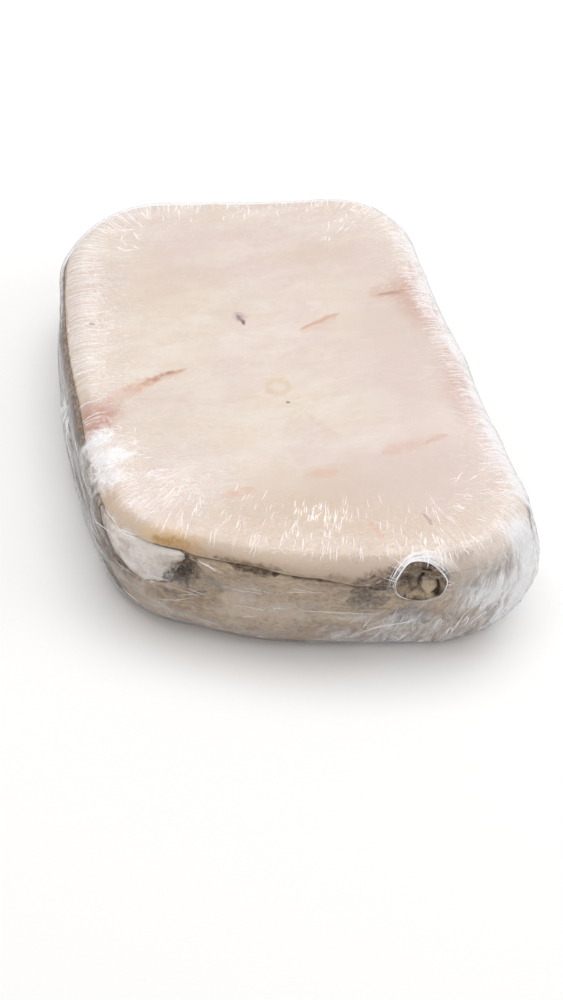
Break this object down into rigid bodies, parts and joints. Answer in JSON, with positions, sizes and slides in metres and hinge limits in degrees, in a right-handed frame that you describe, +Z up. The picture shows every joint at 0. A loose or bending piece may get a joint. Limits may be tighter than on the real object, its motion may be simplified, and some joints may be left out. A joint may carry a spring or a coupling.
{
  "type": "film-wrapped frozen hake slab",
  "caption": "Rounded slab of pressed frozen hake fillets in tight clear shrink film, with a rolled round vent at a corner; lies flat, for cold stores and kitchens.",
  "frame": {"origin": "centre of the slab's outline seen from above, on the floor that it rests on", "axes": "+Z up through the slab's thickness; +Y along its length, away from the side with the vent; +X to the right seen from the vent's side"},
  "size_m": [0.1988, 0.2854, 0.0527],
  "materials": {
    "pale_flesh": "frozen raw fish flesh, wet sheen",
    "grey_flesh": "frozen raw fish flesh and skin, wet sheen",
    "belly_flesh": "frozen raw belly flesh, wet sheen",
    "film": "clear glossy shrink film"
  },
  "bodies": {
    "root": {"upper_fillets": "pale_flesh", "lower_fillets": "grey_flesh", "belly_flap": "belly_flesh", "shrink_film": "film"}
  },
  "joints": []
}
